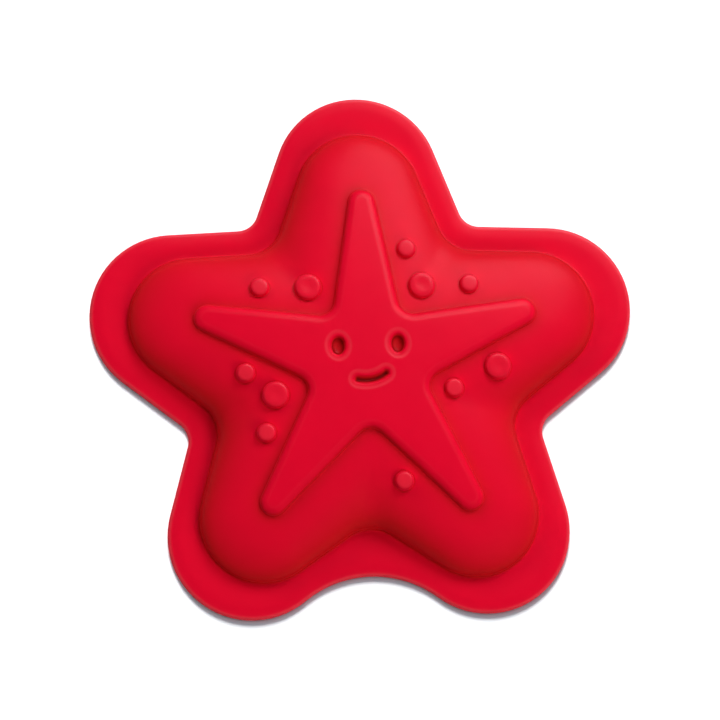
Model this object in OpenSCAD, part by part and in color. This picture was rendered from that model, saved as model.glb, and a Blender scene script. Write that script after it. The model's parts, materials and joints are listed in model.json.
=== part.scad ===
// Star-shaped sand mould. The real one is a single moulding of soft silicone: a flat rim,
// a puffy hollow body, a raised starfish with a smiling face, and round pips. The pieces
// below are the regions of that one moulding, and they meet face to face.
// It lies on its rim with the mouth down. Lengths are in millimetres, angles in degrees.

/* [Rim] */
// Distance from the middle of the star to the centre of each rounded lobe
lobe_reach = 47.9; // [44:0.1:56]
// Radius of a lobe's round end, at the rim's edge
rim_lobe_r = 20.1; // [18:0.1:23]
// Angle at which a lobe's two sides close towards its end
lobe_taper = 20.2; // [17:0.1:23]
// Radius of the notch between two lobes, at the rim's edge
rim_notch_r = 5.2; // [3:0.1:8]
// Radius of the wide arch that takes the place of the bottom notch, at the rim's edge
arch_r = 25.8; // [20:0.2:32]
// Width of the rim at the end of a lobe
rim_end_w = 9.6; // [8:0.1:12]
// Width of the rim along the sides of a lobe
rim_side_w = 6.6; // [5:0.1:7.5]
// Thickness of the rim
rim_t = 2.2; // [1.8:0.1:3]
// Radius of the rounding on the rim's upper edge
rim_edge_r = 0.9; // [0.6:0.1:1.1]
// Width over which the rim's upper face falls towards its edge
rim_fall_w = 3.6; // [2.4:0.1:4.4]
// How far the rim's upper face falls there
rim_fall = 0.3; // [0.1:0.05:0.4]
// Radius of the small roundings on the rim's lower edges
rim_foot_r = 0.4; // [0.2:0.05:0.5]

/* [Body] */
// Height of the body's crown above the rim's upper face
body_h = 12.5; // [10:0.1:16]
// How much lower the crown is at the lobe centres than in the middle
crown_drop = 4.8; // [0:0.1:5]
// How full a lobe's rounded section is: 2 is elliptical, more is squarer
fullness = 3.1; // [2:0.1:4]
// Radius of the notch between two lobes, at the body's foot
body_notch_r = 8.9; // [6:0.1:12]
// Radius of the valley between two lobes, above the body's foot
valley_r = 4; // [2:0.5:8]
// Radius of the fillet where the body rises from the rim
body_fillet_r = 0.8; // [0.4:0.1:1.2]
// Thickness of the silicone wall
wall = 1.6; // [1.2:0.1:2]

/* [Starfish] */
// Distance from the middle to the centre of each arm's round tip
star_reach = 39.6; // [36:0.1:42]
// Radius of an arm's tip
star_tip_r = 3.2; // [2.8:0.1:4]
// Angle at which an arm's two sides close towards its tip
star_taper = 10; // [8:0.5:12]
// Radius of the notch between two arms
star_notch_r = 3.7; // [2:0.1:5]
// Height of the starfish above the body
star_h = 2; // [1.9:0.1:2.8]
// Width of the rounded edge round the starfish
star_edge_w = 2.4; // [1.8:0.1:2.6]

/* [Face] */
// Distance between the centres of the eyes
eye_spacing = 14.2; // [12:0.1:15]
// Height of the eyes above the middle of the starfish
eye_rise = 4.2; // [3:0.1:5]
// Width of an eye's recess
eye_w = 3.3; // [2.4:0.1:3.6]
// Height of an eye's recess
eye_l = 4.4; // [3.4:0.1:5]
// Depth of an eye's recess
eye_depth = 2; // [1.4:0.1:2.6]
// Radius of the smile's centre line
smile_r = 7.9; // [6:0.1:10]
// Half of the angle that the smile spans
smile_half_angle = 25.5; // [18:0.5:34]
// How far the smile's lowest point lies below the middle of the starfish
smile_drop = 4.3; // [3.6:0.1:6]
// How far the smile's arc lies to the left of the middle of the starfish
smile_side = 0.8; // [0:0.1:1.6]
// Tilt of the smile, with its right end up
smile_tilt = 11.5; // [0:0.5:20]
// Width of the smile's groove
smile_w = 1.3; // [1:0.1:1.6]
// Depth of the smile's groove
smile_depth = 1.3; // [1:0.1:1.8]
// Width of the soft lip round the eyes and the smile
face_lip_w = 1.5; // [0.6:0.1:1.7]

/* [Pips] */
// Radius of a large pip
large_pip_r = 3.2; // [2.7:0.1:3.6]
// Radius of a small pip
small_pip_r = 2.3; // [2.1:0.1:2.6]
// Height of the pips above the body
pip_h = 1.8; // [1.2:0.1:2.4]
// Radius of the rounding on a pip's edge
pip_edge_r = 0.6; // [0.4:0.1:1]
// Depth of the dimple in the top of a large pip
dimple_depth = 0.25; // [0.1:0.05:0.6]

/* [Hidden] */

// Number of lobes, and half of the angle between two of them
lobes = 5;
sector = 180 / lobes;
// The lobe that points up the picture, and the notch opposite to it
top_angle = 90;
arch_notch = 2;
// Steps along a lobe's round end, its straight side and half a notch
end_steps = 8;
side_steps = 3;
notch_steps = 3;
tip_steps = 4;
// Steps up the body's outside and its inside
outside_steps = 11;
inside_steps = 7;
pip_sides = 18;
eye_sides = 20;
smile_steps = 6;
smile_end_steps = 4;
// A hairline keeps the raised pieces clear of the body's facets
seam = 0.02;
// Slope of a 45 degree point on a quarter round
quarter_share = 1 - cos(45);

// A star is [reach, end radius, taper, notch radius]
rim_star = [lobe_reach, rim_lobe_r, lobe_taper, rim_notch_r];
// The bottom arch touches the two lower lobes' round ends, with no straight side between
lobe_off = lobe_reach * sin(sector);
arch_reach = lobe_reach * cos(sector) + sqrt(pow(rim_lobe_r + arch_r, 2) - pow(lobe_off, 2));
arch_taper = 90 - atan2(arch_reach * sin(sector), arch_reach * cos(sector) - lobe_reach);
arch_star = [lobe_reach, rim_lobe_r, arch_taper, arch_r];
body_reach = lobe_reach - (rim_end_w - rim_side_w) / (1 - sin(lobe_taper));
body_lobe_r = lobe_reach + rim_lobe_r - rim_end_w - body_reach;
body_star = [body_reach, body_lobe_r, lobe_taper, body_notch_r];
fish_star = [star_reach, star_tip_r, star_taper, star_notch_r];
window_star = inset(fish_star, wall);
// The lobes reach further up than down, so the star's middle lies below the box's middle
star_shift = lobe_reach * (1 - cos(sector)) / 2;

// Places of the pips as shares of the starfish's reach, from its middle
large_pip_shares = [[-0.345, 0.478], [0.342, 0.476], [0.785, -0.025], [-0.559, -0.172]];
small_pip_shares = [[-0.634, 0.487], [0.632, 0.485], [0.258, 0.707], [-0.733, -0.034],
                    [-0.619, -0.397], [0.512, -0.156], [0.193, -0.706]];

// Share of the way from the foot to a lobe's axis, over which the notch turns into the valley
valley_start_share = 0.25;
// Rounded edge of the starfish, from its foot up: shares of the edge's width and height
fish_edge_shares = [[0, 0.3], [0.14, 0.6], [0.42, 0.87], [1, 1]];
// Soft lip of a recess, from its outside in: shares of the lip's width and of its depth
lip_shares = [[1, 0], [0.55, 0.05], [0.22, 0.2], [0, 0.5]];
// Rings of a cap, as shares of its outline
cap_shares = [0.35, 0.7];
// Dimple of a large pip: shares of the flat top's radius, where it starts and where it is deepest
dimple_shares = [0.7, 0.3];
// A cut runs past the surface by this much
overrun = 0.5;

function inset(star, d) = [star[0], star[1] - d, star[2], star[3] + d];
function side_line(star) = star[0] * sin(star[2]) + star[1];
function notch_reach(star) = (side_line(star) + star[3]) / sin(sector + star[2]);
function mix(a, b, share) = a + (b - a) * share;

// Half of a lobe, from its end to the middle of the notch, with the lobe along +X
function half_lobe(star, ends, straight) =
    let (square_on = 90 - star[2],
         end_c = [star[0], 0],
         notch_c = notch_reach(star) * [cos(sector), sin(sector)],
         end_point = end_c + star[1] * [cos(square_on), sin(square_on)],
         notch_point = notch_c - star[3] * [cos(square_on), sin(square_on)],
         notches = straight ? notch_steps : notch_steps + side_steps)
    concat(
        [for (i = [0:ends])
            let (a = square_on * i / ends) end_c + star[1] * [cos(a), sin(a)]],
        straight ? [for (i = [1:side_steps]) mix(end_point, notch_point, i / side_steps)] : [],
        [for (i = [1:notches])
            let (a = mix(square_on, sector, i / notches)) notch_c - star[3] * [cos(a), sin(a)]]);

function turned(p, a) = [p[0] * cos(a) - p[1] * sin(a), p[0] * sin(a) + p[1] * cos(a)];

// The whole outline, anticlockwise. An arch, where there is one, takes the bottom notch's place
function outline(star, ends, arch = []) = [
    for (k = [0:lobes - 1])
        let (a = top_angle + 2 * sector * k,
             arched = len(arch) > 0 && k == arch_notch,
             was_arched = len(arch) > 0 && k - 1 == arch_notch,
             before = half_lobe(was_arched ? arch : star, ends, !was_arched),
             after = half_lobe(arched ? arch : star, ends, !arched),
             last = len(after) - 1)
        each concat([for (i = [last - 1:-1:1]) turned([before[i][0], -before[i][1]], a)],
                    [for (i = [0:last]) turned(after[i], a)])];

function blend(outer, inner, share) = [for (i = [0:len(outer) - 1]) mix(outer[i], inner[i], share)];
function level(ring, z) = [for (p = ring) [p[0], p[1], z]];
function laid(ring, rise) = [for (p = ring) [p[0], p[1], body_top(p) + rise]];

// A point as seen from the nearest lobe, along and across that lobe's axis. The fold between
// two lobes is rounded, so that outlines which lean by this angle turn there with the radius r
function folded(p, r, lean) =
    let (a = atan2(p[1], p[0]) - top_angle,
         off = abs(a - 2 * sector * round(a / (2 * sector))),
         along = norm(p) * cos(sector - off),
         away = norm(p) * sin(sector - off),
         side = away < r * cos(lean)
             ? (r - sin(lean) * sqrt(pow(r, 2) - pow(away, 2))) / cos(lean)
             : away)
    [along * cos(sector) + side * sin(sector), max(0, along * sin(sector) - side * cos(sector))];

// How far out from its lobe's axis a point lies: 0 on the axis, 1 on the star's outline
function spread(p, star, r) =
    let (q = folded(p, r, sector + star[2]),
         axis_x = q[0] - q[1] * tan(star[2]))
    axis_x > star[0]
        ? norm(q - [star[0], 0]) / star[1]
        : q[1] / cos(star[2]) / (side_line(star) - axis_x * sin(star[2]));

// Height of the puffed lobes as a share of the crown, for a surface this far inside the body
function puffed(p, depth) =
    let (star = inset(body_star, depth),
         out = spread(p, star, star[3]),
         turn = min(1, (1 - out) / valley_start_share),
         share = min(1, mix(out, spread(p, star, valley_r + depth), turn)))
    pow(1 - pow(share, fullness), 1 / fullness);
function crown(p) = body_h - crown_drop * pow(norm(p) / lobe_reach, 2);
function body_top(p) = rim_t + crown(p) * puffed(p, 0);
function body_under(p) = rim_t + (crown(p) - wall) * puffed(p, wall);

// Height of the starfish's crown, from which the recesses of the face go down
face_top = body_top([0, 0]) + star_h;

// A closed surface through rings of equal count. It starts and ends at a point each, or with
// flat faces, or else its last ring joins its first
module skin(rings, points = [], flat = false) {
    n = len(rings[0]);
    m = len(rings);
    pointed = len(points) > 0;
    looped = !pointed && !flat;
    last = (m - 1) * n;
    bands = [for (j = [0:looped ? m - 1 : m - 2], i = [0:n - 1])
        let (a = j * n + i,
             b = j * n + (i + 1) % n,
             c = (j + 1) % m * n + (i + 1) % n,
             d = (j + 1) % m * n + i)
        each [[a, c, b], [a, d, c]]];
    fans = [for (i = [0:n - 1])
        let (next = (i + 1) % n)
        each [[i, next, m * n], [last + next, last + i, m * n + 1]]];
    lids = [[for (i = [0:n - 1]) i], [for (i = [n - 1:-1:0]) last + i]];
    polyhedron(
        concat([for (ring = rings) each ring], points),
        concat(bands, pointed ? fans : [], flat ? lids : []));
}

// The flat rim all round the mouth, wider at the bottom arch, with rounded edges
module rim_flange() {
    function rim(d) = outline(inset(rim_star, d), end_steps, inset(arch_star, d));
    mouth = outline(inset(body_star, wall), end_steps);
    mouth_foot = outline(inset(body_star, wall - rim_foot_r), end_steps);
    edge_top = rim_t - rim_fall;
    color("crimson") centred() skin([
        level(mouth_foot, 0),
        level(rim(rim_foot_r), 0),
        level(rim(0), rim_foot_r),
        level(rim(0), edge_top - rim_edge_r),
        level(rim(quarter_share * rim_edge_r), edge_top - quarter_share * rim_edge_r),
        level(rim(rim_edge_r), edge_top),
        level(rim(rim_fall_w), rim_t),
        level(mouth, rim_t),
        level(mouth, rim_foot_r)]);
}

// The hollow body: a shell lofted from its foot to the star-shaped window in its crown
module body_shell() {
    foot = outline(body_star, end_steps);
    mouth = outline(inset(body_star, wall), end_steps);
    window = outline(window_star, end_steps);
    outside = [for (i = [1:outside_steps])
        laid(blend(foot, window, pow(i / outside_steps, 2)), 0)];
    inside = [for (i = [inside_steps:-1:1])
        [for (p = blend(mouth, window, pow(i / inside_steps, 2))) [p[0], p[1], body_under(p)]]];
    skin(concat(
        [level(outline(inset(body_star, -body_fillet_r), end_steps), rim_t),
         level(outline(inset(body_star, -quarter_share * body_fillet_r), end_steps),
               rim_t + quarter_share * body_fillet_r),
         level(foot, rim_t + body_fillet_r)],
        outside,
        inside,
        [level(mouth, rim_t)]));
}

// The pit under a pip, on the inside of the mould: the pip closes its upper end
module pit(place, r) {
    translate([place[0], place[1], body_top(place) - wall - overrun])
        cylinder(r = r - wall, h = wall + 2 * overrun, $fn = pip_sides);
}

module domed_body() {
    color("crimson") centred() difference() {
        body_shell();
        for (share = large_pip_shares) pit(share * star_reach, large_pip_r);
        for (share = small_pip_shares) pit(share * star_reach, small_pip_r);
    }
}

// Outline of an eye, grown by a margin; the right eye's side is 1 and the left one's is -1
function eye(side, grow) = [for (i = [0:eye_sides - 1])
    let (a = 360 * i / eye_sides)
    [side * eye_spacing / 2 + (eye_w / 2 + grow) * cos(a), eye_rise + (eye_l / 2 + grow) * sin(a)]];

// Outline of the smile's groove, grown by a margin: an arc with round ends
function smile(grow) =
    let (half = smile_w / 2 + grow,
         low = -90 - smile_half_angle,
         high = -90 + smile_half_angle,
         right_end = smile_r * [cos(high), sin(high)],
         left_end = smile_r * [cos(low), sin(low)],
         under = [for (i = [0:smile_steps])
            let (a = mix(low, high, i / smile_steps)) (smile_r + half) * [cos(a), sin(a)]],
         right = [for (i = [1:smile_end_steps - 1])
            let (a = high + 180 * i / smile_end_steps) right_end + half * [cos(a), sin(a)]],
         over = [for (i = [smile_steps:-1:0])
            let (a = mix(low, high, i / smile_steps)) (smile_r - half) * [cos(a), sin(a)]],
         left = [for (i = [1:smile_end_steps - 1])
            let (a = low + 180 + 180 * i / smile_end_steps) left_end + half * [cos(a), sin(a)]])
    [for (p = concat(under, right, over, left))
        [-smile_side, smile_r - smile_drop] + turned(p, smile_tilt)];

// Cuts a recess with a soft lip: lip_rings are its outlines, grown by the lip's shares
module recess(floor_ring, lip_rings, depth) {
    skin(concat(
        [level(floor_ring, face_top - depth)],
        [for (i = [len(lip_shares) - 1:-1:0])
            laid(lip_rings[i], star_h - lip_shares[i][1] * depth)],
        [level(lip_rings[0], face_top + overrun)]), flat = true);
}

// The wall that goes down round a recess, inside the mould
module recess_wall(ring, depth) {
    translate([0, 0, face_top - depth - wall]) linear_extrude(depth + wall / 2) polygon(ring);
}

// The raised starfish: a hollow panel over the body's window, with its face
module starfish_relief() {
    fish = outline(fish_star, tip_steps);
    window = outline(window_star, tip_steps);
    top = outline(inset(fish_star, star_edge_w), tip_steps);
    roof = star_h - wall;
    edge = [for (s = fish_edge_shares)
        laid(outline(inset(fish_star, s[0] * star_edge_w), tip_steps), s[1] * star_h)];
    color("crimson") centred() difference() {
        union() {
            skin(concat(
                [for (s = cap_shares) laid(s * window, roof)],
                [laid(window, roof), laid(window, seam), laid(fish, seam)],
                edge,
                [for (i = [len(cap_shares) - 1:-1:0]) laid(cap_shares[i] * top, star_h)]),
                points = [[0, 0, body_top([0, 0]) + roof], [0, 0, body_top([0, 0]) + star_h]]);
            for (side = [-1, 1]) recess_wall(eye(side, wall), eye_depth);
            recess_wall(smile(wall), smile_depth);
        }
        for (side = [-1, 1])
            recess(eye(side, 0), [for (s = lip_shares) eye(side, s[0] * face_lip_w)], eye_depth);
        recess(smile(0), [for (s = lip_shares) smile(s[0] * face_lip_w)], smile_depth);
    }
}

// A round pip on the body, with a rounded edge and perhaps a dimple
module pip(place, r, dimple) {
    function round_at(radius) = [for (i = [0:pip_sides - 1])
        let (a = 360 * i / pip_sides) place + radius * [cos(a), sin(a)]];
    function peak(rise) = [place[0], place[1], body_top(place) + rise];
    flat_r = r - pip_edge_r;
    skin(concat(
        [laid(round_at(r), seam),
         laid(round_at(r), pip_h - pip_edge_r),
         laid(round_at(r - quarter_share * pip_edge_r), pip_h - quarter_share * pip_edge_r),
         laid(round_at(flat_r), pip_h)],
        dimple > 0
            ? [laid(round_at(flat_r * dimple_shares[0]), pip_h),
               laid(round_at(flat_r * dimple_shares[1]), pip_h - dimple)]
            : []),
        points = [peak(seam), peak(pip_h - dimple)]);
}

module large_pips() {
    color("crimson") centred() for (share = large_pip_shares)
        pip(share * star_reach, large_pip_r, dimple_depth);
}

module small_pips() {
    color("crimson") centred() for (share = small_pip_shares)
        pip(share * star_reach, small_pip_r, 0);
}

// Puts the middle of the whole outline's box at the origin
module centred() {
    translate([0, -star_shift, 0]) children();
}

rim_flange();
domed_body();
starfish_relief();
large_pips();
small_pips();
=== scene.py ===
# %% [markdown]
# # A silicone starfish sand mould
#
# This lesson builds the looks of a soft sand mould: a puffy hollow star on a flat rim, with a
# raised starfish, a smiling face and round pips. The real thing is one piece of red silicone,
# so the lesson is about one smooth skin. It could be sculpted, or inflated by a cloth
# simulation, but a mould is cut from a drawing, so the skin is worked out here from a few
# outlines and profiles, and it comes out the same on every run.

# %% The frame
import json
import bmesh
import bpy
import numpy as np
from math import atan2, cos, degrees, pi, radians, sin, sqrt
from mathutils import Matrix, Vector
from mathutils.geometry import delaunay_2d_cdt

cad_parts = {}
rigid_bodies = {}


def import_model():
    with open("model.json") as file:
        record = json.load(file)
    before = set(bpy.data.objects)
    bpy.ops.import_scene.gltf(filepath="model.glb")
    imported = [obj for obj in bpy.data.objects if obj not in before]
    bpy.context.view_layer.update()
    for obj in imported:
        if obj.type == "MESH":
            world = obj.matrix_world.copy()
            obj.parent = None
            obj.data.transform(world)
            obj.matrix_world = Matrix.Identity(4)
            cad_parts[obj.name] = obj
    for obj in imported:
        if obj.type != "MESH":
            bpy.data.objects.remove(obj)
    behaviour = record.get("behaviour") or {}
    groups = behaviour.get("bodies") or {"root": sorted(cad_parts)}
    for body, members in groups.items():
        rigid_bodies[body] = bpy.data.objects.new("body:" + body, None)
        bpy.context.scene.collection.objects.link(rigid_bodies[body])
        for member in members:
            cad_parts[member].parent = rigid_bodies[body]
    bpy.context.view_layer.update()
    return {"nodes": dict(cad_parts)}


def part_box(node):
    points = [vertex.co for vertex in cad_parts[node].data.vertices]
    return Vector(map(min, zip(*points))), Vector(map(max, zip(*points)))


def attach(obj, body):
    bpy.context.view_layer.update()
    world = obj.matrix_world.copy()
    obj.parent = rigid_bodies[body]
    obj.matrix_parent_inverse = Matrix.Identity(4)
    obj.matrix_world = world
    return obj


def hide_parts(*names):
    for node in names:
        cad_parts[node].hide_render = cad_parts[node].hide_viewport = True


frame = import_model()
print("the model's nodes:", sorted(frame["nodes"]))

# %% [markdown]
# ## Three stars in one another
#
# The rim, the body and the raised starfish all have the outline of a star with five round
# lobes. A star is described by four numbers: how far out the centres of its lobes lie, the
# radius of a lobe's end, the angle at which a lobe narrows, and the radius of the notch
# between two lobes. The outlines could be drawn by hand as curves, but from four numbers all
# lobes come out alike. At the bottom of the rim a wide arch takes the place of the notch. The
# frame gives the rim's thickness, and the other sizes are the mould's own drawing, with
# lengths in millimetres and angles written in degrees.

# %% Sizes of the stars
MM = 0.001
rim_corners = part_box("rim_flange")
RIM_T = (rim_corners[1].z - rim_corners[0].z) / MM
LOBES = 5
SECTOR = pi / LOBES
TOP_ANGLE = pi / 2

LOBE_REACH = 47.9
RIM_LOBE_R = 20.1
LOBE_TAPER = radians(20.2)
RIM_NOTCH_R = 5.2
ARCH_R = 25.8
RIM_END_W = 9.6
RIM_SIDE_W = 6.6
BODY_NOTCH_R = 8.9

FISH_REACH = 39.6
FISH_TIP_R = 3.2
FISH_TAPER = radians(10)
FISH_NOTCH_R = 3.7
print(f"rim {RIM_T:.2f} mm thick, its lobes end {LOBE_REACH + RIM_LOBE_R:.1f} mm from the middle")


# %% The stars
def star_of(reach, end_r, taper, notch_r):
    return {"reach": reach, "end_r": end_r, "taper": taper, "notch_r": notch_r,
            "side": reach * sin(taper) + end_r,
            "notch_reach": (reach * sin(taper) + end_r + notch_r) / sin(SECTOR + taper)}


def inset(star, depth):
    """The same star, drawn this far inside its outline."""
    return star_of(star["reach"], star["end_r"] - depth, star["taper"], star["notch_r"] + depth)


rim_star = star_of(LOBE_REACH, RIM_LOBE_R, LOBE_TAPER, RIM_NOTCH_R)
arch_reach = LOBE_REACH * cos(SECTOR) + sqrt(
    (RIM_LOBE_R + ARCH_R) ** 2 - (LOBE_REACH * sin(SECTOR)) ** 2)
arch_taper = pi / 2 - atan2(arch_reach * sin(SECTOR), arch_reach * cos(SECTOR) - LOBE_REACH)
arch_star = star_of(LOBE_REACH, RIM_LOBE_R, arch_taper, ARCH_R)
body_reach = LOBE_REACH - (RIM_END_W - RIM_SIDE_W) / (1 - sin(LOBE_TAPER))
body_star = star_of(body_reach, LOBE_REACH + RIM_LOBE_R - RIM_END_W - body_reach, LOBE_TAPER,
                    BODY_NOTCH_R)
fish_star = star_of(FISH_REACH, FISH_TIP_R, FISH_TAPER, FISH_NOTCH_R)
STAR_SHIFT = LOBE_REACH * (1 - cos(SECTOR)) / 2
print(f"the arch reaches in to {arch_star['notch_reach'] - ARCH_R:.1f} mm from the middle")

# %% [markdown]
# ## Outlines
#
# Each outline is a ring of points that goes round the five lobes: a round end, a straight
# side and a notch, then the same mirrored. Rings of one family have equal counts, so two
# neighbours can be joined by a band of four-sided faces, point to point. Blender's own
# offset tools would change the counts where a corner is tight, and the bands would tear.

# %% Outlines of the stars
END_STEPS, SIDE_STEPS, NOTCH_STEPS = 14, 9, 8
ARCH_NOTCH = 2


def on_circle(angles):
    return np.stack([np.cos(angles), np.sin(angles)], axis=-1)


def turned(points, angle):
    c, s = cos(angle), sin(angle)
    return np.stack([points[:, 0] * c - points[:, 1] * s, points[:, 0] * s + points[:, 1] * c], 1)


def half_lobe(star, straight):
    """From a lobe's tip to the middle of the notch, with a straight side or without one."""
    square_on = pi / 2 - star["taper"]
    end = [star["reach"], 0] + star["end_r"] * on_circle(np.linspace(0, square_on, END_STEPS + 1))
    turns = NOTCH_STEPS if straight else NOTCH_STEPS + SIDE_STEPS
    middle = star["notch_reach"] * on_circle(np.array(SECTOR))
    notch = middle - star["notch_r"] * on_circle(np.linspace(square_on, SECTOR, turns + 1))
    shares = np.linspace(0, 1, SIDE_STEPS + 1)[1:-1, None]
    side = end[-1] + (notch[0] - end[-1]) * shares
    return np.concatenate([end, side, notch] if straight else [end, notch[1:]])


def outline(star, arch=None):
    """A ring round the five lobes, with an arch between the two lower ones if one is given."""
    rows = []
    for k in range(LOBES):
        before = arch if arch and k - 1 == ARCH_NOTCH else star
        after = arch if arch and k == ARCH_NOTCH else star
        left = half_lobe(before, before is star)[-2:0:-1] * [1, -1]
        right = half_lobe(after, after is star)
        rows.append(turned(np.concatenate([left, right]), TOP_ANGLE + 2 * SECTOR * k))
    return np.concatenate(rows)


print("points in a ring:", len(outline(rim_star)), "and with the arch:",
      len(outline(rim_star, arch_star)))


# %% Distances from a star's outline
def nearest_lobe(p):
    """Distance from the middle, and the angle off the nearest lobe's axis."""
    angle = np.arctan2(p[:, 1], p[:, 0]) - TOP_ANGLE
    return np.hypot(p[:, 0], p[:, 1]), np.abs(
        angle - 2 * SECTOR * np.round(angle / (2 * SECTOR)))


def depth_inside(p, star):
    """How far a point lies inside a star's outline; negative outside it."""
    far, off = nearest_lobe(p)
    x, y = far * np.cos(off), far * np.sin(off)
    t = star["taper"]
    end = star["end_r"] - np.hypot(x - star["reach"], y)
    notch_x = x - star["notch_reach"] * cos(SECTOR)
    notch_y = y - star["notch_reach"] * sin(SECTOR)
    notch = np.hypot(notch_x, notch_y) - star["notch_r"]
    side = star["side"] - x * sin(t) - y * cos(t)
    past_end = (x - star["reach"]) * cos(t) - y * sin(t) > 0
    past_notch = notch_x * cos(t) - notch_y * sin(t) < 0
    return np.where(past_end, end, np.where(past_notch, notch, side))


print("depth of the middle inside the body's outline:",
      round(float(depth_inside(np.zeros((1, 2)), body_star)[0]), 1))

# %% [markdown]
# ## The puffed body
#
# Each lobe swells like a small pillow, highest along its middle line and steep at its foot,
# and two lobes meet in a soft valley that runs in to the starfish's armpit. A cushion could
# be blown up by a cloth simulation, but a cast mould has an even, exact swelling. So the
# height is a formula: how far out a point lies between its lobe's axis and the outline,
# put through a rounded profile. Folding the plane onto one half lobe makes all ten halves
# alike, and rounding that fold makes the valley.

# %% Heights of the body
BODY_H = 12.5
CROWN_DROP = 4.8
FULLNESS = 3.1
VALLEY_R = 4.0
VALLEY_START = 0.25
FILLET_R = 0.7
WALL = 1.6
FISH_H = 2.0


def folded(p, r, lean):
    """Places along and across the nearest lobe's axis, with the fold rounded to the radius r."""
    far, off = nearest_lobe(p)
    along, away = far * np.cos(SECTOR - off), far * np.sin(SECTOR - off)
    round_part = (r - sin(lean) * np.sqrt(np.maximum(r * r - away * away, 0))) / cos(lean)
    side = np.where(away < r * cos(lean), round_part, away)
    return (along * cos(SECTOR) + side * sin(SECTOR),
            np.maximum(along * sin(SECTOR) - side * cos(SECTOR), 0))


def spread(p, star, r):
    """0 on the axis of a lobe, 1 on the star's outline."""
    x, y = folded(p, r, SECTOR + star["taper"])
    axis_x = x - y * np.tan(star["taper"])
    half_w = star["side"] - axis_x * sin(star["taper"])
    return np.where(axis_x > star["reach"],
                    np.hypot(x - star["reach"], y) / star["end_r"],
                    y / cos(star["taper"]) / half_w)


def puffed(p, depth):
    """Share of the full height: 1 on the axes and 0 on the outline, this far inside the body's."""
    star = inset(body_star, depth)
    out = spread(p, star, star["notch_r"])
    turn = np.clip((1 - out) / VALLEY_START, 0, 1)
    share = np.clip(out + (spread(p, star, VALLEY_R + depth) - out) * turn, 0, 1)
    return (1 - share ** FULLNESS) ** (1 / FULLNESS)


def crown(p):
    return BODY_H - CROWN_DROP * (p[:, 0] ** 2 + p[:, 1] ** 2) / LOBE_REACH ** 2


def body_top(p):
    return RIM_T + crown(p) * puffed(p, 0)


def body_under(p):
    return RIM_T + (crown(p) - WALL) * puffed(p, WALL)


middle_top = float(body_top(np.zeros((1, 2)))[0])
FACE_TOP = middle_top + FISH_H
print(f"crown at {middle_top:.1f} mm, starfish at {FACE_TOP:.1f} mm")

# %% [markdown]
# ## A shell to collect points and faces
#
# The moulding is drawn as five regions, the rim, the body, the starfish and the large and
# small pips, each a closed shell that meets its neighbours face to face. A shell gathers
# rings of points, bands between them, and fills for the open fields. A fill scatters points
# evenly and joins them with a constrained Delaunay triangulation, which keeps the edges of
# the field as they are. Faces where two regions touch are marked as hidden. Each ring also
# carries a tone of painted light and shade, above zero for a painted highlight on a raised
# edge and below zero for painted shade in a crease, which the material turns into colour.
# Roundings are drawn as quarter rounds, with few rings where they are small.

# %% Even fields and quarter rounds
SMALL_ROUND, LARGE_ROUND = 4, 7
EDGE_MARGIN = 0.6
SAME_POINT = 1e-7
INSIDE_WITH_HOLES = 2


def staggered(low, high, step):
    """An even field of points, each row shifted by half a step."""
    x, y = np.meshgrid(np.arange(low[0], high[0], step),
                       np.arange(low[1], high[1], step * sqrt(3) / 2))
    x[1::2] += step / 2
    return np.column_stack([x.ravel(), y.ravel()])


def rounded(count):
    """Angles of a quarter round, from its start to its end."""
    return np.linspace(0, pi / 2, count)


print("a large quarter round:", [round(degrees(a)) for a in rounded(LARGE_ROUND)])


# %% The shell
class Shell:
    def __init__(self):
        self.points, self.tones, self.faces, self.hidden = [], [], [], []

    def ring(self, flat, heights, tone=0.0):
        """Adds a ring of points and returns their numbers."""
        heights = np.broadcast_to(np.asarray(heights, float), len(flat))
        start = len(self.points)
        self.points.extend(np.column_stack([flat, heights]).tolist())
        self.tones.extend(np.broadcast_to(tone, len(flat)).tolist())
        return np.arange(start, start + len(flat))

    def flat(self, ring):
        return np.array([self.points[i][:2] for i in ring])

    def band(self, a, b, hidden=False):
        """Joins two rings of equal count with four-sided faces."""
        for i in range(len(a)):
            j = (i + 1) % len(a)
            self.faces.append((int(a[i]), int(a[j]), int(b[j]), int(b[i])))
            self.hidden.append(hidden)

    def bands(self, rings):
        for a, b in zip(rings, rings[1:]):
            self.band(a, b)

    def fan(self, ring, flat, height, tone=0.0):
        """Closes a ring with a point in its middle."""
        middle = int(self.ring(np.array([flat]), height, tone)[0])
        for i in range(len(ring)):
            self.faces.append((int(ring[i]), int(ring[(i + 1) % len(ring)]), middle))
            self.hidden.append(False)

    def fill(self, loops, clearance, height, step, tone=lambda p: 0.0):
        """Fills the field between closed loops with even triangles that follow a height."""
        edge = [self.flat(loop) for loop in loops]
        fixed = np.concatenate(edge)
        grid = staggered(fixed.min(0), fixed.max(0), step)
        grid = grid[clearance(grid) > EDGE_MARGIN * step]
        sides, start = [], 0
        for loop in edge:
            n = len(loop)
            sides += [(start + i, start + (i + 1) % n) for i in range(n)]
            start += n
        every = [Vector(p) for p in np.concatenate([fixed, grid]).tolist()]
        made = delaunay_2d_cdt(every, sides, [], INSIDE_WITH_HOLES, SAME_POINT)
        numbers = list(np.concatenate(loops)) + list(self.ring(grid, height(grid), tone(grid)))
        back = np.array([numbers[source[0]] for source in made[3]])
        triangles = np.array(made[2])
        middles = np.array([tuple(p) for p in made[0]])[triangles].mean(1)
        kept = back[triangles[clearance(middles) > 0]].tolist()
        self.faces += [tuple(face) for face in kept]
        self.hidden += [False] * len(kept)


print("a shell collects:", *vars(Shell()))
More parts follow.
